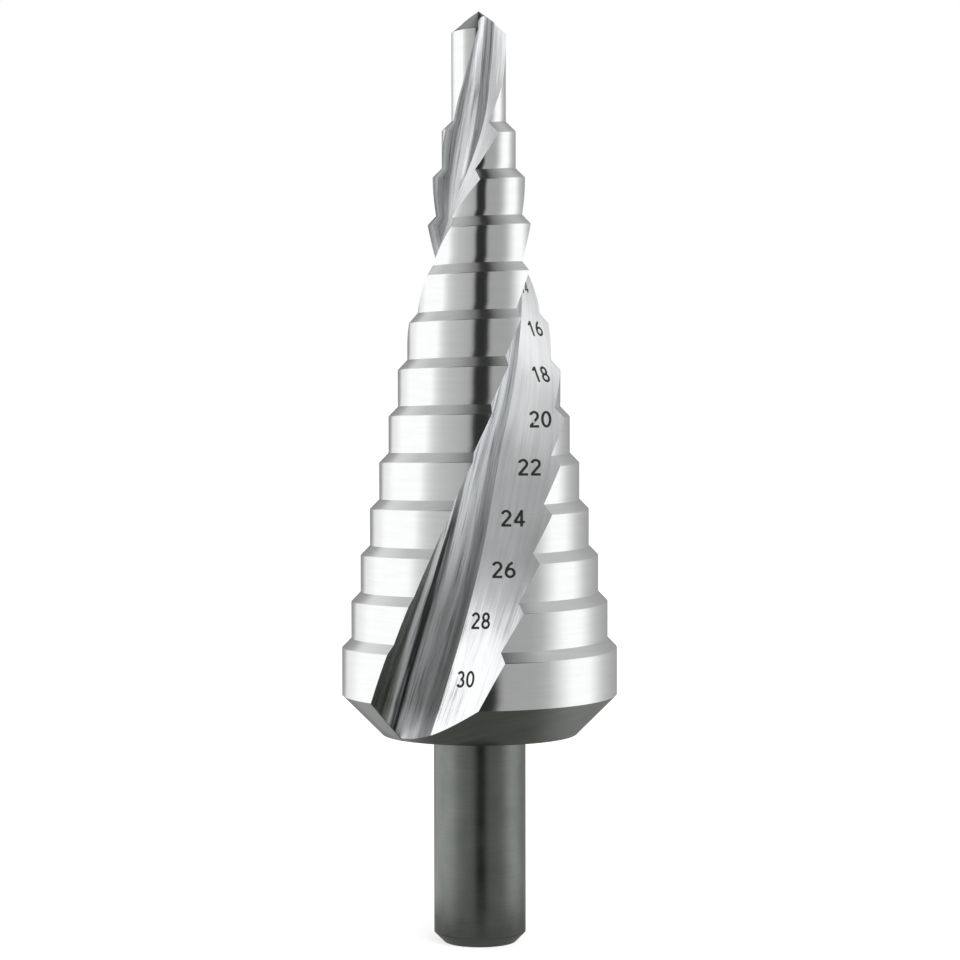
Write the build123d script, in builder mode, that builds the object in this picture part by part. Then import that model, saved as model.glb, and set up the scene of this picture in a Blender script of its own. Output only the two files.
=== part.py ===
from build123d import *
from math import cos, degrees, log, radians, sin, tan
from numpy import interp
import os

# Step drill, one piece of steel, in millimetres.
# The origin is the middle of the flat end of the shank, and +Z runs along the axis to the point.
# Angles about the axis are measured from -Y, the side that shows the size numbers, towards +X.

# Steps
pilot_diameter = 6.0
step_growth = 2.0
step_count = 13
step_pitch = 5.07
chamfer_height = 1.03
last_step_length = 5.3
pilot_length = 9.67

# Point
point_angle = 110.3
point_relief = 0.26

# Back cone and shank
back_cone_angle = 45.0
foot_radius = 10.6
shank_diameter = 10.0
shank_length = 22.8
shank_chamfer = 1.1

# Relief ground behind each cutting edge
radial_relief = 0.15
axial_relief = 0.34
relief_lead = 30.0

# Flutes
flute_count = 2
helix_angle = 22.3
last_edge_angle = -40.5
rake_angle = 22.0
flute_start = 12.0
cutter_reach = 3.0
section_turn = 18.0
web_overlap = 1.1

# Flute sections by the radius of the cone through the steps' rims. Each row gives that radius, then
# how far the groove keeps the direction of the rake face and of its far end, the lean of that end,
# the radius and angle of the break between the groove and the heel face, and the heel's angle and
# slope. Angles start at the cutting edge, and lengths are shares of the first column.
flute_sections = [
    (3.0, 0.54, 0.42, -5.0, 0.56, 76.0, 99.5, 42.0),
    (4.7, 0.52, 0.45, -20.0, 0.66, 68.0, 103.0, 39.0),
    (5.8, 0.50, 0.40, -16.0, 0.68, 56.0, 86.0, 42.0),
    (8.0, 0.44, 0.36, -8.0, 0.62, 30.0, 75.0, 46.0),
    (11.0, 0.42, 0.42, 0.0, 0.595, 21.0, 59.5, 47.0),
    (13.0, 0.40, 0.46, 4.0, 0.665, 25.0, 56.0, 50.0),
    (15.0, 0.40, 0.50, 6.0, 0.70, 27.0, 52.7, 52.0),
]

# Sizes that follow from those above
pilot_radius = pilot_diameter / 2
radius_growth = step_growth / 2
last_radius = pilot_radius + (step_count - 1) * radius_growth
back_cone_height = (last_radius - foot_radius) / tan(radians(back_cone_angle))
cone_top = shank_length + back_cone_height
last_rim = cone_top + last_step_length
second_rim = last_rim + (step_count - 2) * step_pitch
pilot_rim = second_rim + chamfer_height + pilot_length
total_length = pilot_rim + pilot_radius / tan(radians(point_angle / 2))
twist_rate = degrees(tan(radians(helix_angle)) * step_pitch / radius_growth)


def cone_radius(height):
    """Radius of the cone through the rims, or the pilot's radius where that is more."""
    return max(pilot_radius, last_radius - (height - last_rim) * radius_growth / step_pitch)


def edge_angle(height):
    """Angle of the first cutting edge: an even helix angle on the cone, an even lead on the pilot."""
    on_cone = min(height, second_rim)
    lead_rate = degrees(tan(radians(helix_angle)) / cone_radius(second_rim))
    angle = last_edge_angle + twist_rate * log(last_radius / cone_radius(on_cone))
    return angle + lead_rate * (height - on_cone)


def section_heights():
    """Heights about one section_turn of the helix apart, from below the back cone to past the point."""
    heights = [shank_length - flute_start]
    while heights[-1] < total_length:
        heights.append(heights[-1] + radians(section_turn) * cone_radius(heights[-1]) / tan(radians(helix_angle)))
    return heights


def direction(angle):
    return Vector(sin(radians(angle)), -cos(radians(angle)))


def section_shape(height):
    """Values of the flute section at one height, between the rows of the table."""
    columns = list(zip(*flute_sections))
    return [float(interp(cone_radius(height), columns[0], column)) for column in columns[1:]]


def flute_outline(height, turn):
    """Section of one flute: rake face and groove, heel face, and a cover outside the drill."""
    radius = cone_radius(height)
    rake_reach, end_reach, end_lean, break_share, break_angle, heel_angle, heel_slope = section_shape(height)
    start = edge_angle(height) + turn
    edge = direction(start) * radius
    rake = direction(start + rake_angle)
    ending = direction(start + end_lean + 90)
    heel = direction(start + heel_angle) * radius
    leaving = direction(start + heel_angle + 90 - heel_slope)
    groove_end = direction(start + break_angle) * (break_share * radius)
    rake_handle = edge - rake * (rake_reach * radius)
    end_handle = groove_end - ending * (end_reach * radius)
    heel_handle = heel - leaving * ((heel - groove_end).length / 2)
    outer_start = edge + rake * cutter_reach
    outer_end = heel + leaving * cutter_reach
    outer_middle = direction(start + heel_angle / 2) * (radius + 2 * cutter_reach)
    with BuildLine() as outline:
        Line(outer_start, edge)
        Bezier(edge, rake_handle, end_handle, groove_end)
        Bezier(groove_end, heel_handle, heel)
        Line(heel, outer_end)
        ThreePointArc(outer_end, outer_middle, outer_start)
    return outline.line


def flute_cutter(turn):
    """The space that one flute takes out of the drill."""
    with BuildPart() as cutter:
        for height in section_heights():
            with BuildSketch(Plane.XY.offset(height)):
                add(flute_outline(height, turn))
                make_face()
        loft()
    return cutter.part


def land_half():
    """Twisted half of the space about the axis, which parts one land from the other in mid flute."""
    size = 2 * last_radius
    with BuildPart() as half:
        for height in section_heights():
            heel_angle = section_shape(height)[5]
            middle = edge_angle(height) + heel_angle / 2 - 90
            along = direction(middle)
            across = direction(middle + 90)
            back = along * -web_overlap
            with BuildSketch(Plane.XY.offset(height)):
                with BuildLine():
                    Polyline(
                        back - across * size,
                        back + across * size,
                        along * size + across * size,
                        along * size - across * size,
                        close=True,
                    )
                make_face()
        loft()
    return half.part


def tilted_cone(apex, slope, lean, high_side, foot):
    """A cone from its apex down past the foot, highest on one side."""
    axis = Vector(-high_side.X * lean, -high_side.Y * lean, 1).normalized()
    height = apex.Z - foot + cutter_reach
    with BuildPart(Plane(origin=apex, z_dir=axis)) as cone:
        Cone(height / slope, 0, height, align=(Align.CENTER, Align.CENTER, Align.MAX))
    return cone.part


def ground_step(number):
    """One step of one land: a cylinder set off towards its cutting edge, under a tilted cone."""
    radius = pilot_radius + number * radius_growth
    if number == 0:
        rim = pilot_rim
        foot = second_rim - chamfer_height
    else:
        rim = last_rim + (step_count - 1 - number) * step_pitch
        foot = rim - step_pitch - chamfer_height if number < step_count - 1 else shank_length
    centre = direction(edge_angle((rim + foot) / 2)) * radial_relief
    high_side = direction(edge_angle(rim) + relief_lead)
    if number == 0:
        relief = point_relief
        slope = 1 / tan(radians(point_angle / 2)) + relief / radius * cos(radians(relief_lead))
        apex = Vector(0, 0, total_length)
    else:
        relief = axial_relief
        slope = chamfer_height / radius_growth
        fall = relief * cos(radians(relief_lead))
        apex = centre + Vector(0, 0, rim - fall + (radius - radial_relief) * slope)
    lean = relief / (radius * (1 + slope**2))
    cone = tilted_cone(apex, slope, lean, high_side, foot)
    with BuildPart() as step:
        with Locations(centre + Vector(0, 0, foot)):
            Cylinder(radius - radial_relief, total_length - foot, align=(Align.CENTER, Align.CENTER, Align.MIN))
        add(cone, mode=Mode.INTERSECT)
    return step.part


flute_turns = [360 / flute_count * number for number in range(flute_count)]
steps = [ground_step(number) for number in range(step_count)]
half = land_half()
cutters = [flute_cutter(turn) for turn in flute_turns]
body_height = total_length - shank_length
body_width = foot_radius + body_height * tan(radians(back_cone_angle))

with BuildPart() as land:
    add(steps)
    add(half, mode=Mode.INTERSECT)
    with Locations((0, 0, shank_length)):
        Cone(
            foot_radius,
            body_width,
            body_height,
            align=(Align.CENTER, Align.CENTER, Align.MIN),
            mode=Mode.INTERSECT,
        )
    add(cutters, mode=Mode.SUBTRACT)

with BuildPart() as step_drill:
    Cylinder(shank_diameter / 2, shank_length, align=(Align.CENTER, Align.CENTER, Align.MIN))
    chamfer(step_drill.edges().sort_by(Axis.Z)[0], shank_chamfer)
    for turn in flute_turns:
        add(land.part, rotation=(0, 0, turn))

step_drill.part.label = "step_drill"

os.makedirs("parts", exist_ok=True)
export_step(step_drill.part, "parts/step_drill.step")
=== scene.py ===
import math

import bmesh
import bpy
import numpy as np
from mathutils import Matrix, Vector
from mathutils.bvhtree import BVHTree
from mathutils.geometry import delaunay_2d_cdt


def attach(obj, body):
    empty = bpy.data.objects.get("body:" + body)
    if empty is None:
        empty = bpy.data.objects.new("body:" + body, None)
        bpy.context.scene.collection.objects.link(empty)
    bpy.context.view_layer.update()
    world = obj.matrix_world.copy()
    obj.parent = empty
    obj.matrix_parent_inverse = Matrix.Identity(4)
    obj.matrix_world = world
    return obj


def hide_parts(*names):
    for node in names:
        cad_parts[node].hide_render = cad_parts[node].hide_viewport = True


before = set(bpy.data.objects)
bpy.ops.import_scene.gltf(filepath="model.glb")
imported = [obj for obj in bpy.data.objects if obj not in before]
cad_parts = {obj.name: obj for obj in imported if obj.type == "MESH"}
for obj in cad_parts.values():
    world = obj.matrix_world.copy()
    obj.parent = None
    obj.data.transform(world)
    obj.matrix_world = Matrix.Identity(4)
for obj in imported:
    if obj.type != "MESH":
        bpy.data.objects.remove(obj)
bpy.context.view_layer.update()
MM = 0.001

# Sizes of the drill in millimetres, the same ones that the CAD source names
PILOT_RADIUS = 3.0
RADIUS_GROWTH = 1.0
STEPS = 13
PITCH = 5.07
CHAMFER = 1.03
LAST_LENGTH = 5.3
PILOT_LENGTH = 9.67
POINT_ANGLE = 110.3
FOOT_RADIUS = 10.6
SHANK_RADIUS = 5.0
SHANK_LENGTH = 22.8
SHANK_CHAMFER = 1.1
RADIAL_RELIEF = 0.15
AXIAL_RELIEF = 0.34
POINT_RELIEF = 0.26
RELIEF_LEAD = 30.0
HELIX = 22.3
LAST_EDGE = -40.5
RAKE = 22.0
SECTIONS = np.array([
    (3.0, 0.54, 0.42, -5.0, 0.56, 76.0, 99.5, 42.0),
    (4.7, 0.52, 0.45, -20.0, 0.66, 68.0, 103.0, 39.0),
    (5.8, 0.50, 0.40, -16.0, 0.68, 56.0, 86.0, 42.0),
    (8.0, 0.44, 0.36, -8.0, 0.62, 30.0, 75.0, 46.0),
    (11.0, 0.42, 0.42, 0.0, 0.595, 21.0, 59.5, 47.0),
    (13.0, 0.40, 0.46, 4.0, 0.665, 25.0, 56.0, 50.0),
    (15.0, 0.40, 0.50, 6.0, 0.70, 27.0, 52.7, 52.0),
]).T

LAST_RADIUS = PILOT_RADIUS + (STEPS - 1) * RADIUS_GROWTH
CONE_TOP = SHANK_LENGTH + LAST_RADIUS - FOOT_RADIUS
LAST_RIM = CONE_TOP + LAST_LENGTH
SECOND_RIM = LAST_RIM + (STEPS - 2) * PITCH
PILOT_RIM = SECOND_RIM + CHAMFER + PILOT_LENGTH
TOTAL = PILOT_RIM + PILOT_RADIUS / math.tan(math.radians(POINT_ANGLE / 2))
TWIST = math.degrees(math.tan(math.radians(HELIX)) * PITCH / RADIUS_GROWTH)
SLOPE = CHAMFER / RADIUS_GROWTH
POINT_SLOPE = (1 / math.tan(math.radians(POINT_ANGLE / 2))
               + POINT_RELIEF / PILOT_RADIUS * math.cos(math.radians(RELIEF_LEAD)))

# How finely the mesh follows the form
LAND_COLUMNS = 72
HEEL_COLUMNS = 16
GROOVE_COLUMNS = 34
FLUTE_COLUMNS = HEEL_COLUMNS + GROOVE_COLUMNS
WALL_ROWS = 5
PILOT_ROWS = 16
RUN_OUT_ROWS = 8
POINT_ROWS = 6
CURVE_POINTS = 400

# Breaks along the rims, and how far from a rim the next row lies that keeps the surface beside it flat
BREAK = 0.03
HOLD = 4 * BREAK

# The flute that shows in front is turned half way round from the one whose edge is given
FRONT_TURN = -180.0


def rad(angle):
    return np.radians(angle)


def cone_radius(z):
    """Radius of the cone through the rims, or the pilot's radius where that is more."""
    return np.maximum(PILOT_RADIUS, LAST_RADIUS - (z - LAST_RIM) * RADIUS_GROWTH / PITCH)


def edge_angle(z):
    """Angle of the first cutting edge, from the camera's side towards the right."""
    on_cone = np.minimum(z, SECOND_RIM)
    lead_rate = math.degrees(math.tan(math.radians(HELIX)) / float(cone_radius(SECOND_RIM)))
    return LAST_EDGE + TWIST * np.log(LAST_RADIUS / cone_radius(on_cone)) + lead_rate * (z - on_cone)


def direction(angle):
    return np.stack([np.sin(rad(angle)), -np.cos(rad(angle))], axis=-1)


def angle_of(point):
    return np.degrees(np.arctan2(point[..., 0], -point[..., 1]))


def flute_shape(z, turn=FRONT_TURN):
    """The named points of a flute's section at height z."""
    z = np.asarray(z, dtype=float)
    radius = cone_radius(z)
    rake_reach, end_reach, end_lean, break_share, break_angle, heel_angle, heel_slope = [
        sum(np.interp(radius + off, SECTIONS[0], column) for off in (-0.5, 0, 0.5)) / 3
        for column in SECTIONS[1:]
    ]
    start = edge_angle(z) + turn
    r = radius[..., None]
    edge = direction(start) * r
    rake = direction(start + RAKE)
    heel = direction(start + heel_angle) * r
    leaving = direction(start + heel_angle + 90 - heel_slope)
    groove_end = direction(start + break_angle) * break_share[..., None] * r
    reach = np.linalg.norm(heel - groove_end, axis=-1)[..., None]
    return {
        "r": r, "edge": edge, "rake": rake, "heel": heel, "groove_end": groove_end,
        "rake_handle": edge - rake * rake_reach[..., None] * r,
        "end_handle": groove_end - direction(start + end_lean + 90) * end_reach[..., None] * r,
        "heel_middle": heel - leaving * reach / 2,
    }


def heel_point(z, s, turn=FRONT_TURN):
    """A point of the heel face: share 0 where it breaks to the groove, 1 at the land."""
    f = flute_shape(z, turn)
    s = np.asarray(s)[..., None]
    return f["groove_end"] * (1 - s) ** 2 + f["heel_middle"] * 2 * s * (1 - s) + f["heel"] * s ** 2


def groove_point(z, s, edge_depth, turn=FRONT_TURN):
    """A point of the groove: share 0 where it breaks to the heel face, 1 at the cutting edge."""
    f = flute_shape(z, turn)
    t = 1 - np.asarray(s)[..., None]
    place = (f["edge"] * (1 - t) ** 3 + f["rake_handle"] * 3 * t * (1 - t) ** 2
             + f["end_handle"] * 3 * t ** 2 * (1 - t) + f["groove_end"] * t ** 3)
    return place - f["rake"] * edge_depth * f["r"] * np.clip(1 - 3 * t, 0, 1)


# Shares of the groove's curve at its columns, at about even distances along the curve
curve_shares = np.linspace(0, 1, CURVE_POINTS)
curve_length = np.zeros(CURVE_POINTS)
for z in (40.0, 80.0):
    curve = groove_point(np.full(CURVE_POINTS, z), curve_shares, 0.0)
    curve_length[1:] += np.cumsum(np.linalg.norm(np.diff(curve, axis=0), axis=1)) / cone_radius(z)
even_lengths = np.linspace(0, curve_length[-1], GROOVE_COLUMNS + 1)
GROOVE_SHARES = np.interp(even_lengths, curve_length, curve_shares)


def flute_points(z, heel_share, edge_depth):
    """Points across a flute, from the heel over the groove to the edge, at one height for each column."""
    heel = heel_point(z[:HEEL_COLUMNS], np.linspace(heel_share, 0, HEEL_COLUMNS + 1)[:-1])
    groove = groove_point(z[HEEL_COLUMNS:], GROOVE_SHARES, edge_depth)
    return np.concatenate([heel, groove])


class Step:
    """The relief-ground surfaces of one step of the land whose cutting edge has turn 0."""

    def __init__(self, number):
        self.radius = PILOT_RADIUS + number * RADIUS_GROWTH
        self.number = number
        if number == 0:
            self.rim = PILOT_RIM
            foot = SECOND_RIM - CHAMFER
            self.slope = POINT_SLOPE
            self.relief = POINT_RELIEF
        else:
            self.rim = LAST_RIM + (STEPS - 1 - number) * PITCH
            foot = SHANK_LENGTH if number == STEPS - 1 else self.rim - PITCH - CHAMFER
            self.slope = SLOPE
            self.relief = AXIAL_RELIEF
        self.side = float(edge_angle((self.rim + foot) / 2))
        self.high = float(edge_angle(self.rim)) + RELIEF_LEAD
        self.centre = direction(self.side) * RADIAL_RELIEF

    def wall(self, angle):
        """Radius of the cylinder in one direction from the axis."""
        off = rad(angle - self.side)
        inner = self.radius - RADIAL_RELIEF
        return RADIAL_RELIEF * np.cos(off) + np.sqrt(inner ** 2 - (RADIAL_RELIEF * np.sin(off)) ** 2)

    def cone(self, angle, radius):
        """Height of the chamfer's cone, or the point's, over one place."""
        lead = math.cos(math.radians(RELIEF_LEAD))
        if self.number == 0:
            return (TOTAL - self.slope * radius
                    + self.relief / self.radius * radius * np.cos(rad(angle - self.high)))
        place = direction(angle) * np.asarray(radius)[..., None] - self.centre
        away = np.linalg.norm(place, axis=-1)
        turn = angle_of(place) - self.high
        top = self.rim - self.relief * lead + (self.radius - RADIAL_RELIEF) * self.slope
        return top - self.slope * away + self.relief * away / self.radius * np.cos(rad(turn))


step_list = [Step(number) for number in range(STEPS)]


def back_cone(radius):
    """Height of the back cone at one radius, which rises by as much as it widens."""
    return SHANK_LENGTH + radius - FOOT_RADIUS


def wall_row(number, share):
    """A row round the wall of a step: share 0 at its root, 1 at its rim."""
    step = step_list[number]

    def row(angle):
        radius = step.wall(angle)
        if number == STEPS - 1:
            low = back_cone(radius)
        else:
            low = step_list[number + 1].cone(angle, radius)
        return radius, low + (step.cone(angle, radius) - low) * share
    return row


def chamfer_row(number, share):
    """A row round the chamfer above a step: share 0 at its rim, 1 at the next wall."""
    step = step_list[number]
    above = step_list[number - 1]

    def row(angle):
        radius = step.wall(angle) + (above.wall(angle) - step.wall(angle)) * share
        return radius, step.cone(angle, radius)
    return row


def at_edge(row):
    """Where a row meets the rake face of its own flute: angle and depth along the rake line."""
    def off(angle):
        radius, z = row(angle)
        place = direction(angle) * radius / cone_radius(z)
        start = edge_angle(z)
        outward, along = direction(start), direction(start + RAKE)
        gap = place - outward
        return float(gap[0] * -along[1] + gap[1] * along[0]), -float(gap @ along)
    centre = float(edge_angle(row(0.0)[1]))
    for _ in range(4):
        centre = float(edge_angle(row(centre)[1]))
    low, high = centre - 14, centre + 6
    sign = off(low)[0] > 0
    for _ in range(60):
        middle = (low + high) / 2
        if (off(middle)[0] > 0) == sign:
            low = middle
        else:
            high = middle
    return low, off(low)[1]


def at_heel(row):
    """Where a row meets the heel face of the flute behind it: angle and share of the heel curve."""
    z = row(float(at_edge(row)[0]) - 90)[1]
    for _ in range(12):
        low, high = 0.2, 1.0
        for _ in range(40):
            share = (low + high) / 2
            place = heel_point(z, share)
            if np.linalg.norm(place) < row(float(angle_of(place)))[0]:
                low = share
            else:
                high = share
        angle = float(angle_of(heel_point(z, low)))
        z = row(angle)[1]
    return angle, low


def ring(row):
    """Half of one ring round the drill: the land from its edge to its heel, then the flute behind it."""
    edge, depth = at_edge(row)
    heel, share = at_heel(row)
    while heel > edge:
        heel -= 360
    angles = np.linspace(edge, heel, LAND_COLUMNS + 1)
    radius, z = row(angles)
    land = np.column_stack([direction(angles) * radius[:, None], z])
    return land, z[-1], z[0], share, depth


def flute_row(z, share, depth):
    return np.column_stack([flute_points(z, share, depth), z])


def half_ring(row):
    land, z_heel, z_edge, share, depth = ring(row)
    z = np.linspace(z_heel, z_edge, FLUTE_COLUMNS + 1)
    flute = flute_row(z, share, depth)
    return land, flute, share, depth


# Rows from the widest step up to the pilot, each with a note of whether a wall starts there
PILOT_SHARES = np.linspace(0, 1, PILOT_ROWS + 1)[:-2]
wall_length = PITCH - CHAMFER
slant = CHAMFER * math.sqrt(2)
step_shares = list(np.linspace(0, 1, WALL_ROWS + 1)[:-1]) + [1 - HOLD / wall_length, 1 - BREAK / wall_length]
rows = []
for number in range(STEPS - 1, -1, -1):
    shares = step_shares if number else PILOT_SHARES
    rows += [(share == 0, wall_row(number, share)) for share in shares]
    if number:
        rows += [(False, chamfer_row(number, share)) for share in (BREAK / slant, HOLD / slant, 0.5)]
halves = [half_ring(row) for _, row in rows]


class Builder:
    """Collects corners and faces of one mesh, with a material and a flat map for each face."""

    def __init__(self):
        self.points = []
        self.faces = []
        self.slots = []
        self.maps = []
        self.sharp = set()

    def add(self, points):
        start = len(self.points)
        self.points.extend([tuple(p) for p in np.asarray(points) * MM])
        return list(range(start, len(self.points)))

    def face(self, corners, slot, spots):
        self.faces.append(corners)
        self.slots.append(slot)
        self.maps.append(spots)

    def crease(self, a, b):
        self.sharp.add((min(a, b), max(a, b)))

    def object(self, name, materials):
        mesh = bpy.data.meshes.new(name)
        mesh.from_pydata(self.points, [], self.faces)
        for material in materials:
            mesh.materials.append(material)
        mesh.polygons.foreach_set("material_index", self.slots)
        mesh.polygons.foreach_set("use_smooth", [True] * len(self.faces))
        flat = mesh.uv_layers.new(name="grain")
        spots = [c for spot in self.maps for pair in spot for c in pair]
        flat.data.foreach_set("uv", spots)
        for edge in mesh.edges:
            a, b = edge.vertices
            if (min(a, b), max(a, b)) in self.sharp:
                edge.use_edge_sharp = True
        mesh.update()
        piece = bpy.data.objects.new(name, mesh)
        bpy.context.scene.collection.objects.link(piece)
        return piece


LAND, GROOVE, HEEL, BACK, SHANK, FLANK = range(6)
HALF = LAND_COLUMNS + FLUTE_COLUMNS
AROUND = 2 * HALF
drill = Builder()

# How far each flute column lies across the flute, in millimetres on a cone of MAP_RADIUS
MAP_RADIUS = 10.0
MAP_HEIGHT = 50.0
MAP_HEEL_SHARE = 0.95
middle = flute_points(np.full(FLUTE_COLUMNS + 1, MAP_HEIGHT), MAP_HEEL_SHARE, 0.0)
across = np.concatenate([[0], np.cumsum(np.linalg.norm(np.diff(middle, axis=0), axis=1))])
across = across / float(cone_radius(MAP_HEIGHT)) * MAP_RADIUS


def turned(points):
    """The same points half way round the axis."""
    return np.asarray(points) * (-1, -1, 1)


def closed(land, flute):
    """A whole ring from one land and one flute."""
    return np.concatenate([land[:-1], flute[:-1], turned(land[:-1]), turned(flute[:-1])])


def place_on_map(points):
    """Flat map of the round surfaces: distance round the axis, and height."""
    angle = np.unwrap(np.arctan2(points[:, 0], -points[:, 1]))
    return np.column_stack([angle * np.hypot(points[:, 0], points[:, 1]).mean(), points[:, 2]])


def slot_of(local):
    if local < LAND_COLUMNS:
        return LAND
    return HEEL if local < LAND_COLUMNS + HEEL_COLUMNS else GROOVE


# The two flutes lie this far apart on the flat map
SIDE_STEP = 40.0
GROOVE_START = float(across[HEEL_COLUMNS])
GROOVE_END = float(across[-1])


def flute_spot(column, z, side, share):
    """Flat map of a flute: distance across it, and height. The share is where its heel curve ends."""
    over = across[column]
    if column < HEEL_COLUMNS:
        over = GROOVE_START * (1 - share * (1 - column / HEEL_COLUMNS))
    return (over + SIDE_STEP * side, z)


def join(low, low_points, low_share, high, high_points, high_share):
    """Faces between two rings of the lands and flutes, with creases along the flutes' edges."""
    low_map, high_map = place_on_map(low_points), place_on_map(high_points)
    for i in range(AROUND):
        local, side = i % HALF, i // HALF
        j = (i + 1) % AROUND
        slot = slot_of(local)
        if slot == LAND:
            spots = (low_map[i], low_map[i + 1], high_map[i + 1], high_map[i])
        else:
            c = local - LAND_COLUMNS
            spots = (flute_spot(c, low_points[i][2], side, low_share),
                     flute_spot(c + 1, low_points[i + 1][2], side, low_share),
                     flute_spot(c + 1, high_points[i + 1][2], side, high_share),
                     flute_spot(c, high_points[i][2], side, high_share))
        drill.face((low[i], low[j], high[j], high[i]), slot, spots)
        if local in (0, LAND_COLUMNS, LAND_COLUMNS + HEEL_COLUMNS):
            drill.crease(low[i], high[i])


# Steps and flutes
rings = []
for land, flute, _, _ in halves:
    points = closed(land, flute)
    rings.append((drill.add(points), np.vstack([points, points[:1]])))

for k in range(len(rings) - 1):
    (low, low_points), (high, high_points) = rings[k], rings[k + 1]
    join(low, low_points, halves[k][2], high, high_points, halves[k + 1][2])
    if rows[k][0]:
        for i in range(AROUND):
            if i % HALF < LAND_COLUMNS:
                drill.crease(low[i], low[(i + 1) % AROUND])

# Flute run-out on the back cone
base_ids, base_points = rings[0]
_, flute, share, depth = halves[0]
high_z = flute[:, 2].copy()
top_z, low_z = high_z.copy(), np.full(FLUTE_COLUMNS + 1, SHANK_LENGTH)
for _ in range(50):
    z = (top_z + low_z) / 2
    reach = np.linalg.norm(flute_points(z, share, depth), axis=1)
    out = reach > FOOT_RADIUS + z - SHANK_LENGTH
    low_z = np.where(out, z, low_z)
    top_z = np.where(out, top_z, z)
end_z = top_z
end_z[0], end_z[-1] = high_z[0], high_z[-1]
run_out = [flute_row(high_z + (end_z - high_z) * (k / RUN_OUT_ROWS), share, depth)
           for k in range(RUN_OUT_ROWS + 1)]
tongue = []
for side in (0, 1):
    start = side * HALF + LAND_COLUMNS
    ids = [base_ids[(start + c) % AROUND] for c in range(FLUTE_COLUMNS + 1)]
    last = ids
    for k in range(1, RUN_OUT_ROWS + 1):
        points = run_out[k] if side == 0 else turned(run_out[k])
        new = [last[0]] + drill.add(points[1:-1]) + [last[-1]]
        for c in range(FLUTE_COLUMNS):
            slot = HEEL if c < HEEL_COLUMNS else GROOVE
            corners = [(new[c], c, k), (new[c + 1], c + 1, k),
                       (last[c + 1], c + 1, k - 1), (last[c], c, k - 1)]
            kept = [corner for n, corner in enumerate(corners) if corner[0] != corners[n - 1][0]]
            drill.face([corner[0] for corner in kept], slot,
                       [flute_spot(c1, run_out[k1][c1][2], side, share) for _, c1, k1 in kept])
            if c == HEEL_COLUMNS:
                drill.crease(new[c], last[c])
        last = new
    tongue.append(last)
    for c in range(FLUTE_COLUMNS):
        drill.crease(last[c], last[c + 1])

# Back cone, foot, shank and end
loop = base_ids[:LAND_COLUMNS] + tongue[0][:-1] + base_ids[HALF:HALF + LAND_COLUMNS] + tongue[1][:-1]
loop_points = np.array([drill.points[i] for i in loop]) / MM
for i in range(AROUND):
    if i % HALF < LAND_COLUMNS:
        drill.crease(loop[i], loop[(i + 1) % AROUND])
loop_angles = np.degrees(np.unwrap(np.arctan2(loop_points[:, 0], -loop_points[:, 1])))
even_angles = loop_angles[0] - np.arange(AROUND) * 360 / AROUND


def round_row(radius, z, evenness):
    """A row round the axis, from the angles of the loop above to even ones."""
    angles = loop_angles + (even_angles - loop_angles) * evenness
    return np.column_stack([direction(angles) * np.reshape(radius, (-1, 1)),
                            np.broadcast_to(z, AROUND)])


lower = []
for share in (0.25, 0.5, 0.75, 1.0):
    z = loop_points[:, 2] + (SHANK_LENGTH + BREAK - loop_points[:, 2]) * share
    lower.append((round_row(FOOT_RADIUS + z - SHANK_LENGTH, z, 0), BACK))
for inset in (BREAK, HOLD):
    lower.append((round_row(FOOT_RADIUS - inset, SHANK_LENGTH, 0), BACK))
for share in (0.33, 0.66, 1.0):
    radius = FOOT_RADIUS + (SHANK_RADIUS - FOOT_RADIUS) * share
    lower.append((round_row(radius, SHANK_LENGTH, share), BACK))
for share in (0.02, 0.2, 0.4, 0.6, 0.8):
    z = SHANK_LENGTH + (SHANK_CHAMFER - SHANK_LENGTH) * share
    lower.append((round_row(SHANK_RADIUS, z, 1), SHANK))
end_radius = SHANK_RADIUS - SHANK_CHAMFER
for radius, z in (
    (SHANK_RADIUS, SHANK_CHAMFER + HOLD),
    (SHANK_RADIUS, SHANK_CHAMFER + BREAK),
    (SHANK_RADIUS - BREAK, SHANK_CHAMFER - BREAK),
    (SHANK_RADIUS - HOLD, SHANK_CHAMFER - HOLD),
    (end_radius + HOLD, HOLD),
    (end_radius + BREAK, BREAK),
    (end_radius - BREAK, 0),
    (end_radius / 2, 0),
):
    lower.append((round_row(radius, z, 1), SHANK))
last, last_points, last_slot = loop, loop_points, BACK
for points, slot in lower:
    new = drill.add(points)
    a = place_on_map(np.vstack([last_points, last_points[:1]]))
    b = place_on_map(np.vstack([points, points[:1]]))
    for i in range(AROUND):
        j = (i + 1) % AROUND
        drill.face((new[i], new[j], last[j], last[i]), slot, (b[i], b[i + 1], a[i + 1], a[i]))
        if slot != last_slot:
            drill.crease(last[i], last[j])
    last, last_points, last_slot = new, points, slot
centre = drill.add([(0, 0, 0)])[0]
for i in range(AROUND):
    j = (i + 1) % AROUND
    spots = ((0, 0), tuple(last_points[j][:2]), tuple(last_points[i][:2]))
    drill.face((centre, last[j], last[i]), SHANK, spots)

# Drill point: the flutes run up to the lips, and two relieved cones meet in the chisel edge
point = step_list[0]

# Within this radius the higher of the two flanks is the surface
WEB = 1.25
LIP_GROOVE_COLUMNS = GROOVE_COLUMNS // 3
LIP_GUESS_BELOW_TIP = 1.0
LIP_ROUNDS = 200


def flank_height(angle, radius, column):
    """Height of the point over one place of a flute's top edge."""
    own = point.cone(angle, radius)
    other = point.cone(angle + 180, radius)
    both = np.maximum(own, other)
    heel_side = np.where(radius < WEB, both, own)
    edge_side = np.where(radius < WEB, both, other)
    return np.where(column < HEEL_COLUMNS, heel_side,
                    np.where(column > HEEL_COLUMNS + LIP_GROOVE_COLUMNS, edge_side, both))


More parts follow.
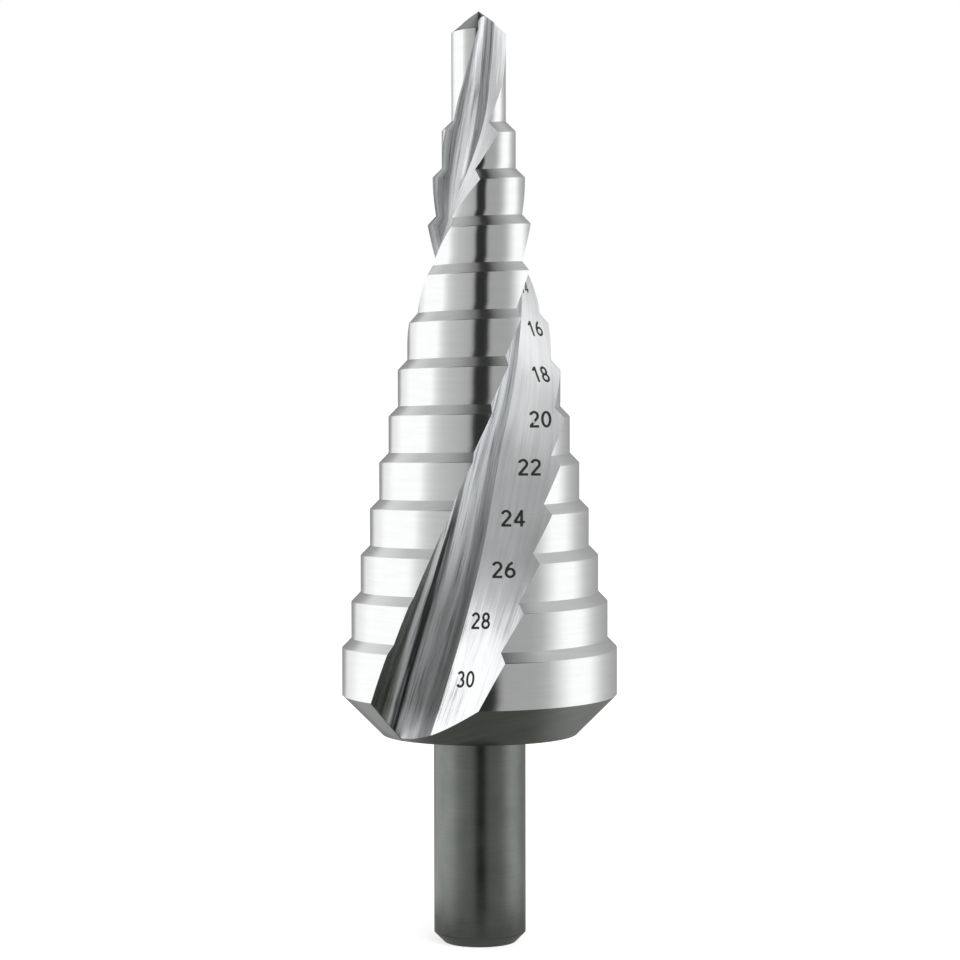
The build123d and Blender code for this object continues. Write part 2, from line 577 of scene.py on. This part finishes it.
_, rim_heel_z, rim_edge_z, rim_share, rim_depth = ring(wall_row(0, 1.0))
start_z = halves[-1][1][:, 2]
columns = np.arange(FLUTE_COLUMNS + 1)
lip_z = np.full(FLUTE_COLUMNS + 1, TOTAL - LIP_GUESS_BELOW_TIP)
for _ in range(LIP_ROUNDS):
    place = flute_points(lip_z, rim_share, rim_depth)
    goal = flank_height(angle_of(place), np.linalg.norm(place, axis=1), columns)
    lip_z = lip_z + (goal - lip_z) * 0.5
lip_z[0], lip_z[-1] = rim_heel_z, rim_edge_z
last, last_points = rings[-1]
last_heel = halves[-1][2]
for k in range(1, POINT_ROWS + 1):
    t = k / POINT_ROWS
    row_share = PILOT_SHARES[-1] + (1 - PILOT_SHARES[-1]) * t
    land, z_heel, z_edge, row_heel, row_depth = ring(wall_row(0, row_share if k < POINT_ROWS else 1.0))
    z = start_z + (lip_z - start_z) * t
    z[0], z[-1] = z_heel, z_edge
    points = closed(land, flute_row(z, row_heel, row_depth))
    new = drill.add(points)
    points = np.vstack([points, points[:1]])
    join(last, last_points, last_heel, new, points, row_heel)
    last, last_points, last_heel = new, points, row_heel
for i in range(AROUND):
    drill.crease(last[i], last[(i + 1) % AROUND])

CHISEL_REACH = 0.95
CHISEL_POINTS = 21
CAP_GRID = 0.14
CAP_TO_EDGE = 0.09
CAP_TO_CHISEL = 0.08
CHISEL_TO_EDGE = 0.04
BEHIND_BELOW_TIP = 1.5
outline = last_points[:-1, :2]
chisel_angle = point.high - 90
chisel = [direction(chisel_angle) * r for r in np.linspace(-CHISEL_REACH, CHISEL_REACH, CHISEL_POINTS)]


def inside(place):
    """Whether a place lies within the outline of the point."""
    x, y = place
    x0, y0 = outline[:, 0], outline[:, 1]
    x1, y1 = np.roll(x0, -1), np.roll(y0, -1)
    with np.errstate(divide="ignore", invalid="ignore"):
        hit = ((y0 > y) != (y1 > y)) & (x < (x1 - x0) * (y - y0) / (y1 - y0) + x0)
    return int(hit.sum()) % 2 == 1


grid = []
for x in np.arange(-PILOT_RADIUS, PILOT_RADIUS, CAP_GRID):
    for y in np.arange(-PILOT_RADIUS, PILOT_RADIUS, CAP_GRID):
        spot = np.array([x, y])
        near = np.linalg.norm(outline - spot, axis=1).min()
        along = np.array([np.linalg.norm(c - spot) for c in chisel]).min()
        if near > CAP_TO_EDGE and along > CAP_TO_CHISEL and inside(spot):
            grid.append(spot)
chisel = [c for c in chisel if inside(c) and np.linalg.norm(outline - c, axis=1).min() > CHISEL_TO_EDGE]
flat_points = [Vector(p) for p in (*outline, *chisel, *grid)]
edges = [(i, (i + 1) % AROUND) for i in range(AROUND)]
edges += [(AROUND + i, AROUND + i + 1) for i in range(len(chisel) - 1)]
made, _, triangles, origins, _, _ = delaunay_2d_cdt(flat_points, edges, [], 1, 1e-6)
cap = []
for n, spot in enumerate(made):
    source = [o for o in origins[n] if o < AROUND]
    if source:
        cap.append(last[source[0]])
        continue
    angle = math.degrees(math.atan2(spot.x, -spot.y))
    radius = spot.length
    own = float(point.cone(angle, radius))
    other = float(point.cone(angle + 180, radius))
    if radius < WEB:
        z = max(own, other)
    else:
        behind = (float(edge_angle(TOTAL - BEHIND_BELOW_TIP)) - angle) % 360
        z = own if behind < 180 else other
    cap.append(drill.add([(spot.x, spot.y, z)])[0])
for triangle in triangles:
    corners = [cap[i] for i in triangle]
    drill.face(corners, FLANK, [(made[i].x, made[i].y) for i in triangle])
chisel_ids = {AROUND + i for i in range(len(chisel))}
line = [n for n in range(len(made)) if any(o in chisel_ids for o in origins[n])]
line.sort(key=lambda n: made[n].dot(Vector(direction(chisel_angle))))
for a, b in zip(line, line[1:]):
    drill.crease(cap[a], cap[b])


class Graph:
    """Short ways to put nodes into one material or world."""

    def __init__(self, owner):
        owner.use_nodes = True
        self.nodes, self.links = owner.node_tree.nodes, owner.node_tree.links

    def put(self, socket, value):
        if isinstance(value, bpy.types.NodeSocket):
            self.links.new(value, socket)
        elif value is not None:
            socket.default_value = value

    def node(self, kind, *values, **settings):
        made = self.nodes.new("ShaderNode" + kind)
        for name, value in settings.items():
            setattr(made, name, value)
        for socket, value in zip(made.inputs, values):
            self.put(socket, value)
        return made

    def math(self, operation, *values):
        return self.node("Math", *values, operation=operation).outputs[0]

    def between(self, value, low, high, first=0.0, last=1.0):
        """A value spread from low..high to first..last and held at the ends."""
        return self.node("MapRange", value, low, high, first, last).outputs[0]

    def ramp(self, share, stops):
        made = self.node("ValToRGB", share)
        elements = made.color_ramp.elements
        colours = [colour if isinstance(colour, tuple) else (colour,) * 3 for _, colour in stops]
        for n, place in ((0, 0), (1, -1)):
            elements[n].position = stops[place][0]
            elements[n].color = (*colours[place], 1)
        for (position, _), colour in list(zip(stops, colours))[1:-1]:
            elements.new(position).color = (*colour, 1)
        return made.outputs[0]

    def blend(self, share, first, last, kind="MIX"):
        made = self.node("Mix", data_type="RGBA", blend_type=kind)
        self.put(made.inputs[0], share)
        for socket, value in ((made.inputs[6], first), (made.inputs[7], last)):
            self.put(socket, (*value, 1) if isinstance(value, tuple) else value)
        return made.outputs[2]

    def noise(self, place, scale, detail=2.0):
        """Noise over the flat map, with its own scale for each direction."""
        spread = self.node("Mapping", place)
        spread.inputs["Scale"].default_value = scale
        made = self.node("TexNoise", spread.outputs[0])
        made.inputs["Scale"].default_value = 1.0
        made.inputs["Detail"].default_value = detail
        return made.outputs[0]

    def bump(self, height, depth, normal=None):
        """Roughness of the surface by a height in millimetres."""
        made = self.node("Bump")
        self.put(made.inputs["Height"], height)
        made.inputs["Strength"].default_value = 1.0
        made.inputs["Distance"].default_value = depth * MM
        self.put(made.inputs["Normal"], normal)
        return made.outputs[0]


def metal(name):
    """A metal material with its graph, its shader and the flat map that its marks follow."""
    material = bpy.data.materials.new(name)
    graph = Graph(material)
    shader = graph.nodes["Principled BSDF"]
    shader.inputs["Metallic"].default_value = 1.0
    grain = graph.node("UVMap", uv_map="grain").outputs[0]
    return material, graph, shader, grain


def ground_steel():
    """Bright steel, ground round the axis."""
    material, graph, shader, grain = metal("ground_steel")
    fine = graph.noise(grain, (0.12, 11.0, 1.0), 3.0)
    broad = graph.noise(grain, (0.25, 1.6, 1.0), 2.0)
    tone = graph.blend(fine, (0.77, 0.78, 0.78), (0.87, 0.875, 0.87))
    tone = graph.blend(graph.between(broad, 0.3, 0.7, 0.0, 0.35), tone, (0.74, 0.75, 0.75))
    graph.put(shader.inputs["Base Color"], tone)
    graph.put(shader.inputs["Roughness"], graph.between(fine, 0.3, 0.7, 0.13, 0.19))
    shader.inputs["Anisotropic"].default_value = 0.55
    shader.inputs["Anisotropic Rotation"].default_value = 0.25
    tangent = graph.node("Tangent", direction_type="UV_MAP", uv_map="grain")
    graph.put(shader.inputs["Tangent"], tangent.outputs[0])
    graph.put(shader.inputs["Normal"], graph.bump(fine, 0.0022))
    return material


# Tones of painted light and shade across the groove, from its break with the heel face (share 0) to the
# cutting edge (share 1): painted highlights, dark stripes of painted reflection and a shaded rake face by
# the edge
LOWER_GROOVE_LIGHT_AND_SHADE = [(0.0, 0.45), (0.05, 0.22), (0.11, 0.32), (0.16, 0.75), (0.22, 0.6), (0.29, 0.95),
               (0.36, 1.0), (0.385, 0.3), (0.4, 0.07), (0.43, 0.07), (0.45, 1.0), (0.5, 0.95),
               (0.54, (0.42, 0.43, 0.38)), (0.66, (0.24, 0.25, 0.21)), (0.72, (0.45, 0.46, 0.41)),
               (0.84, (0.26, 0.27, 0.23)), (1.0, (0.45, 0.46, 0.41))]
MIDDLE_GROOVE_LIGHT_AND_SHADE = [(0.0, 0.55), (0.08, 0.4), (0.15, 0.8), (0.28, 1.0), (0.4, 0.7), (0.5, 1.0),
                (0.62, 0.8), (0.8, 1.0), (1.0, 0.95)]
UPPER_GROOVE_LIGHT_AND_SHADE = [(0.0, 0.5), (0.1, 0.45), (0.22, 0.5), (0.3, 0.32), (0.36, 0.42), (0.41, 1.0), (0.52, 1.0),
               (0.57, 0.7), (0.63, 0.36), (0.8, 0.4), (0.9, 0.7), (1.0, 0.5)]

# Painted shade by height on groove and heel face: darker bands of painted shade in the groove and of painted
# dark reflection on the heel face, spread between the two heights on the next line
SHADE_FROM, SHADE_TO = 20.0, 70.0
GROOVE_SHADE_HEIGHTS = [(0.0, 1.0), (0.08, 1.0), (0.14, 0.5), (0.36, 0.55), (0.52, 0.95), (1.0, 1.0)]
HEEL_SHADE_HEIGHTS = [(0.0, 1.0), (0.34, 1.0), (0.46, 0.74), (0.6, 0.72), (0.74, 0.9), (1.0, 1.0)]

# Heights in millimetres between which one pattern of painted light and shade across the groove turns into
# the next, the first pair also changing how metallic the groove is, and between which the heel face turns
# less metallic and rougher
MIDDLE_FROM, MIDDLE_TO = 46.0, 54.0
UPPER_FROM, UPPER_TO = 73.0, 77.0
HEEL_FROM, HEEL_TO = 34.0, 48.0


def flute_steel(name, groove):
    """Steel of a flute, with long marks of the grinding wheel, duller in the groove than on the heel. Its
    colour also carries painted light and shade: highlights, dark reflected stripes and a shaded rake face
    across the groove, and darker bands by height.
    """
    material, graph, shader, grain = metal(name)
    split = graph.node("SeparateXYZ", grain)
    over = graph.math("MODULO", split.outputs[0], SIDE_STEP)
    height = split.outputs[1]
    fine = graph.noise(grain, (5.5, 0.16, 1.0), 2.0)
    middle = graph.noise(grain, (1.7, 0.045, 1.0), 3.0)
    wave = graph.noise(grain, (0.5, 0.22, 1.0), 1.0)
    shade_rise = graph.between(height, SHADE_FROM, SHADE_TO)
    if groove:
        share = graph.between(over, GROOVE_START, GROOVE_END)
        share = graph.math("ADD", share, graph.between(middle, 0.2, 0.8, -0.05, 0.05))
        to_middle = graph.between(height, MIDDLE_FROM, MIDDLE_TO)
        to_upper = graph.between(height, UPPER_FROM, UPPER_TO)
        # painted light and shade across the groove: lower, middle and upper patterns of painted highlights
        # and dark painted reflections
        tone = graph.blend(to_middle, graph.ramp(share, LOWER_GROOVE_LIGHT_AND_SHADE), graph.ramp(share, MIDDLE_GROOVE_LIGHT_AND_SHADE))
        tone = graph.blend(to_upper, tone, graph.ramp(share, UPPER_GROOVE_LIGHT_AND_SHADE))
        marks = graph.ramp(fine, [(0.3, 0.3), (0.42, 0.85), (0.55, 1.0)])
        tone = graph.blend(0.7, tone, marks, "MULTIPLY")
        tone = graph.blend(0.6, tone, (0.93, 0.97, 1.0), "MULTIPLY")
        # painted shade: darker bands in the groove by height
        tone = graph.blend(1.0, tone, graph.ramp(shade_rise, GROOVE_SHADE_HEIGHTS), "MULTIPLY")
        low = graph.between(share, 0.5, 0.58, 0.08, 0.8)
        shine = graph.blend(to_middle, low, graph.between(middle, 0.5, 0.62, 0.1, 0.65))
        graph.put(shader.inputs["Metallic"], shine)
        graph.put(shader.inputs["Roughness"], graph.between(fine, 0.3, 0.7, 0.22, 0.34))
    else:
        marks = graph.ramp(fine, [(0.25, 0.6), (0.4, 0.92), (0.6, 1.0)])
        tone = graph.blend(graph.between(middle, 0.35, 0.65), (0.85, 0.865, 0.88), (0.96, 0.965, 0.97))
        tone = graph.blend(0.4, tone, marks, "MULTIPLY")
        # painted dark reflection: darker bands on the heel face by height
        tone = graph.blend(1.0, tone, graph.ramp(shade_rise, HEEL_SHADE_HEIGHTS), "MULTIPLY")
        graph.put(shader.inputs["Metallic"], graph.between(height, HEEL_FROM, HEEL_TO, 0.9, 0.35))
        graph.put(shader.inputs["Roughness"], graph.between(height, HEEL_FROM, HEEL_TO, 0.17, 0.28))
    graph.put(shader.inputs["Base Color"], tone)
    rolling = graph.bump(wave, 0.10 if groove else 0.14)
    rolling = graph.bump(middle, 0.035, rolling)
    graph.put(shader.inputs["Normal"], graph.bump(fine, 0.016, rolling))
    return material


def dark_steel(name, turned_marks):
    """Steel with the dark skin of heat treatment."""
    material, graph, shader, grain = metal(name)
    cloud = graph.noise(grain, (0.35, 0.3, 1.0), 4.0)
    fine = graph.noise(grain, turned_marks, 3.0)
    tone = graph.blend(graph.between(cloud, 0.3, 0.7), (0.165, 0.178, 0.165), (0.225, 0.236, 0.222))
    tone = graph.blend(graph.between(fine, 0.3, 0.7, 0.0, 0.4), tone, (0.15, 0.16, 0.15))
    graph.put(shader.inputs["Base Color"], tone)
    graph.put(shader.inputs["Roughness"], graph.between(cloud, 0.3, 0.7, 0.26, 0.34))
    graph.put(shader.inputs["Normal"], graph.bump(fine, 0.006))
    return material


def point_steel():
    """The drill point's flanks, ground across."""
    material, graph, shader, grain = metal("point_steel")
    fine = graph.noise(grain, (3.0, 9.0, 1.0), 3.0)
    tone = graph.blend(fine, (0.5, 0.51, 0.51), (0.74, 0.75, 0.75))
    graph.put(shader.inputs["Base Color"], tone)
    graph.put(shader.inputs["Roughness"], graph.between(fine, 0.3, 0.7, 0.11, 0.18))
    graph.put(shader.inputs["Normal"], graph.bump(fine, 0.004))
    return material


materials = [
    ground_steel(),
    flute_steel("groove_steel", True),
    flute_steel("heel_steel", False),
    dark_steel("back_cone_steel", (0.3, 7.0, 1.0)),
    dark_steel("shank_steel", (0.2, 6.0, 1.0)),
    point_steel(),
]
piece = drill.object("drill", materials)
made_mesh = bmesh.new()
made_mesh.from_mesh(piece.data)
bmesh.ops.recalc_face_normals(made_mesh, faces=made_mesh.faces)
made_mesh.to_mesh(piece.data)
made_mesh.free()
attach(piece, "root")
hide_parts("step_drill")

# Studio: what the steel mirrors. The first list goes by the direction round the axis from the camera's
# side, in degrees, and the second, for what lies overhead, from left to right as shares of one.
SURROUND = [(-180, 0.22), (-166, 0.30), (-152, 0.42), (-143, 0.90), (-128, 1.05), (-116, 1.22),
            (-71, 1.22), (-65, 0.97), (-57, 0.75), (-46, 0.62), (-30, 0.54), (-15, 0.47), (-10, 0.30),
            (-7.5, 0.03), (12, 0.03), (14.5, 0.25), (18, 0.43), (45, 0.44), (56, 0.52), (64, 0.74),
            (74, 1.05), (81, 1.22), (101, 1.22), (111, 0.95), (119, 0.72), (128, 0.58), (143, 0.46),
            (166, 0.36), (180, 0.22)]
OVERHEAD = [(0.0, 0.82), (0.2, 0.66), (0.36, 0.4), (0.44, 0.22), (0.485, 0.04), (0.55, 0.04),
            (0.6, 0.2), (0.68, 0.36), (0.75, 0.6), (1.0, 0.6)]

# Slants between which the horizon turns into what lies overhead, and this into the dark in front
HIGH_FROM, HIGH_TO = 0.4, 0.75
FRONT_DARK, FRONT_LIT = -0.32, -0.12
FRONT_SHARE, FRONT_TONE = 0.95, 0.05


def surround(graph, split):
    """Brightness of the surroundings at the horizon for a direction or a place on the floor."""
    turn = graph.math("ARCTAN2", split.outputs[0], graph.math("MULTIPLY", split.outputs[1], -1.0))
    share = graph.between(turn, -math.pi, math.pi)
    return graph.ramp(share, [(angle / 360 + 0.5, value) for angle, value in SURROUND])


world = bpy.data.worlds.new("studio")
bpy.context.scene.world = world
graph = Graph(world)
graph.nodes.clear()
split = graph.node("SeparateXYZ", graph.node("TexCoord").outputs["Generated"])
overhead = graph.ramp(graph.between(split.outputs[0], -1.0, 1.0), OVERHEAD)
front = graph.between(split.outputs[1], FRONT_DARK, FRONT_LIT, 1.0, 0.0)
overhead = graph.blend(graph.math("MULTIPLY", front, FRONT_SHARE), overhead, (FRONT_TONE,) * 3)
high = graph.between(split.outputs[2], HIGH_FROM, HIGH_TO)
lit = graph.node("Background", graph.blend(high, surround(graph, split), overhead))
white = graph.node("Background", (1, 1, 1, 1))
path = graph.node("LightPath")
choose = graph.node("MixShader", path.outputs["Is Camera Ray"], lit.outputs[0], white.outputs[0])
graph.node("OutputWorld", choose.outputs[0])

# Soft light from the front, which lifts the parts that don't mirror; steel mirrors the surroundings only
LAMP_TURN, LAMP_RISE, LAMP_SPREAD, LAMP_STRENGTH = 28.0, 32.0, 45.0, 1.3
lamp_data = bpy.data.lights.new("front_light", "SUN")
lamp_data.energy = LAMP_STRENGTH
lamp_data.angle = math.radians(LAMP_SPREAD)
lamp = bpy.data.objects.new("front_light", lamp_data)
lamp.rotation_euler = (math.radians(90 - LAMP_RISE), 0, math.radians(LAMP_TURN))
lamp.visible_glossy = False
bpy.context.scene.collection.objects.link(lamp)

# Floor: white to the camera with the drill's shadow on it; in the steel's reflections it glows with the
# surroundings' brightness, and with a painted shadow, a darker patch near the shank
FLOOR_LIFT = 0.62
FLOOR_SIZE = 3
SHADOW_PATCH_TONE = 0.3
SHADOW_PATCH_FROM, SHADOW_PATCH_TO = 0.016, 0.034
floor_mesh = bpy.data.meshes.new("floor")
floor_corners = [(x * FLOOR_SIZE, y * FLOOR_SIZE, 0) for x, y in ((-1, -1), (1, -1), (1, 1), (-1, 1))]
floor_mesh.from_pydata(floor_corners, [], [(0, 1, 2, 3)])
floor_white = bpy.data.materials.new("floor_white")
graph = Graph(floor_white)
graph.nodes.clear()
place = graph.node("NewGeometry").outputs["Position"]
split = graph.node("SeparateXYZ", place)
away = graph.node("VectorMath", place, operation="LENGTH").outputs["Value"]
# painted shadow: a dark patch round the shank in the floor's glow, seen only in reflections
glow_with_painted_shadow = graph.blend(graph.between(away, SHADOW_PATCH_FROM, SHADOW_PATCH_TO), (SHADOW_PATCH_TONE,) * 3, surround(graph, split))
path = graph.node("LightPath")
lift_strength = graph.math("MULTIPLY", path.outputs["Is Camera Ray"], FLOOR_LIFT)
lift = graph.node("Emission", (1, 1, 1, 1), lift_strength)
pale = graph.node("BsdfDiffuse", (0.9, 0.9, 0.9, 1))
cloth = graph.node("AddShader", pale.outputs[0], lift.outputs[0])
glow = graph.node("Emission", glow_with_painted_shadow)
choose = graph.node("MixShader", path.outputs["Is Glossy Ray"], cloth.outputs[0], glow.outputs[0])
graph.node("OutputMaterial", choose.outputs[0])
floor_mesh.materials.append(floor_white)
floor = bpy.data.objects.new("floor", floor_mesh)
bpy.context.scene.collection.objects.link(floor)

# Camera, in front of the drill and looking slightly down, placed in millimetres and turned in degrees
LENS = 114.13
SENSOR = 36
NEAREST = 0.01
CAMERA_PLACE = (0.077, -330.4, 65.29)
CAMERA_PITCH = 2.576
CAMERA_ROLL = -0.094
camera_data = bpy.data.cameras.new("camera")
camera_data.lens = LENS
camera_data.sensor_width = SENSOR
camera_data.clip_start = NEAREST
camera = bpy.data.objects.new("camera", camera_data)
bpy.context.scene.collection.objects.link(camera)
bpy.context.scene.camera = camera
camera.location = [c * MM for c in CAMERA_PLACE]
pitch = Matrix.Rotation(math.radians(90 - CAMERA_PITCH), 4, "X")
roll = Matrix.Rotation(math.radians(CAMERA_ROLL), 4, "Z")
camera.rotation_euler = (pitch @ roll).to_euler()
bpy.context.scene.view_settings.view_transform = "Standard"

# Size numbers on the heel face of the lower flute, each fitted to its box as the camera sees it: left,
# right, top and bottom in pixels of the photograph's frame, and how far it leans
NUMBERS = [
    ("14", 519.8, 528.7, 281.0, 293.0, 2.5),
    ("16", 526.0, 544.0, 321.0, 336.0, 5.0), ("18", 530.0, 551.0, 366.5, 382.0, 5.5),
    ("20", 529.0, 551.5, 411.0, 427.5, 0.5), ("22", 518.0, 541.0, 459.0, 475.5, 0.0),
    ("24", 501.0, 524.5, 510.0, 526.5, 0.0), ("26", 492.0, 515.5, 561.5, 578.0, 0.0),
    ("28", 471.0, 490.5, 612.5, 629.0, -1.0), ("30", 456.0, 475.0, 671.0, 687.5, -1.5),
]

# Marks stand this far out of the steel, and are this thick, in millimetres
MARK_LIFT = 0.012
MARK_DEPTH = 0.03
IMAGE = 960
focal = LENS / SENSOR * IMAGE
eye = camera.location.copy()
turned_camera = camera.rotation_euler.to_matrix()
bpy.context.view_layer.update()
surface = BVHTree.FromObject(piece, bpy.context.evaluated_depsgraph_get())


def arc(x, y, wide, tall, first, last, count):
    """Points along part of an oval."""
    turns = np.radians(np.linspace(first, last, count))
    return [(x + wide * math.cos(t), y + tall * math.sin(t)) for t in turns]


# Strokes of the digits, one high and DIGIT_WIDTH wide
STROKE = 0.15
DIGIT_WIDTH = 0.58
DIGIT_STEP = 0.70
DIGITS = {
    "0": [arc(0.29, 0.5, 0.225, 0.435, 0, 360, 28)],
    "1": [[(0.10, 0.73), (0.33, 0.95)], [(0.33, 1.0), (0.33, 0.0)]],
    "2": [arc(0.28, 0.70, 0.215, 0.235, 165, -30, 16) + [(0.07, 0.075)],
          [(0.02, 0.065), (0.56, 0.065)]],
    "3": [arc(0.28, 0.715, 0.19, 0.22, 155, -90, 16), arc(0.28, 0.28, 0.225, 0.22, 90, -155, 18)],
    "4": [[(0.42, 0.0), (0.42, 1.0)], [(0.43, 0.96), (0.05, 0.27)], [(0.02, 0.27), (0.60, 0.27)]],
    "6": [arc(0.29, 0.31, 0.225, 0.245, 0, 360, 24),
          [(0.067, 0.33), (0.10, 0.54), (0.22, 0.77), (0.42, 0.95)]],
    "8": [arc(0.29, 0.715, 0.19, 0.22, 0, 360, 22), arc(0.29, 0.28, 0.225, 0.22, 0, 360, 24)],
}


def ribbons(body):
    """Both sides of every stroke of a number, spread over a box of one by one."""
    total = DIGIT_STEP * (len(body) - 1) + DIGIT_WIDTH
    for n, digit in enumerate(body):
        for line in DIGITS[digit]:
            line = np.array(line)
            closed_line = bool(np.allclose(line[0], line[-1]))
            if closed_line:
                line = line[:-1]
                along = np.roll(line, -1, axis=0) - np.roll(line, 1, axis=0)
            else:
                along = np.gradient(line, axis=0)
            along /= np.linalg.norm(along, axis=1)[:, None]
            side = np.column_stack([-along[:, 1], along[:, 0]]) * STROKE / 2
            shift = np.array([n * DIGIT_STEP, 0])
            yield [(row + shift) / (total, 1) for row in (line + side, line - side)], closed_line


# The smallest number runs on behind the land in front of it, from a place of it that the camera sees
HIDDEN_NUMBER = "14"
HIDDEN_SIDE, HIDDEN_LEVEL, HIDDEN_STEP = 525.5, 288.0, 2


def seen(x, y):
    """Where the camera's ray through a place in the image meets the drill."""
    ray = turned_camera @ Vector(((x - IMAGE / 2) / focal, (IMAGE / 2 - y) / focal, -1)).normalized()
    spot, normal, _, _ = surface.ray_cast(eye, ray)
    return spot, normal


def carried_on(x, y):
    """A place of the number whose start is hidden, carried on along the heel face from what is seen."""
    middle, _ = seen(HIDDEN_SIDE, HIDDEN_LEVEL)
    right, _ = seen(HIDDEN_SIDE + HIDDEN_STEP, HIDDEN_LEVEL)
    up, _ = seen(HIDDEN_SIDE, HIDDEN_LEVEL - HIDDEN_STEP)
    guess = (middle + (right - middle) * (x - HIDDEN_SIDE) / HIDDEN_STEP
             + (up - middle) * (HIDDEN_LEVEL - y) / HIDDEN_STEP)
    spot, normal, _, _ = surface.find_nearest(guess)
    return spot, normal


marks = bmesh.new()
for body, left, right, top, bottom, lean in NUMBERS:
    width = right - left - abs(lean)
    for sides, closed_line in ribbons(body):
        layers = [[], [], [], []]
        for n, line in enumerate(sides):
            for x, y in line:
                shift = lean * (1 - y) if lean > 0 else -lean * y
                find = carried_on if body == HIDDEN_NUMBER else seen
                spot, normal = find(left + shift + x * width, bottom - y * (bottom - top))
                layers[n].append(marks.verts.new(spot + normal * MARK_LIFT * MM))
                layers[3 - n].append(marks.verts.new(spot + normal * (MARK_LIFT - MARK_DEPTH) * MM))
        count = len(layers[0])
        for i in range(count if closed_line else count - 1):
            j = (i + 1) % count
            for one, two in zip(layers, layers[1:] + layers[:1]):
                marks.faces.new((one[i], one[j], two[j], two[i]))
        if not closed_line:
            marks.faces.new([layer[0] for layer in layers])
            marks.faces.new([layer[-1] for layer in reversed(layers)])
bmesh.ops.recalc_face_normals(marks, faces=marks.faces)
numbers_mesh = bpy.data.meshes.new("size_numbers")
marks.to_mesh(numbers_mesh)
marks.free()
etched = bpy.data.materials.new("etched_mark")
graph = Graph(etched)
shader = graph.nodes["Principled BSDF"]
SOOT_SCALE = 4000.0
soot = graph.noise(graph.node("TexCoord").outputs["Object"], (SOOT_SCALE,) * 3, 3.0)
graph.put(shader.inputs["Base Color"], graph.blend(soot, (0.012, 0.012, 0.010), (0.04, 0.04, 0.034)))
shader.inputs["Roughness"].default_value = 0.6
numbers_mesh.materials.append(etched)
numbers = bpy.data.objects.new("size_numbers", numbers_mesh)
bpy.context.scene.collection.objects.link(numbers)
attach(numbers, "root")
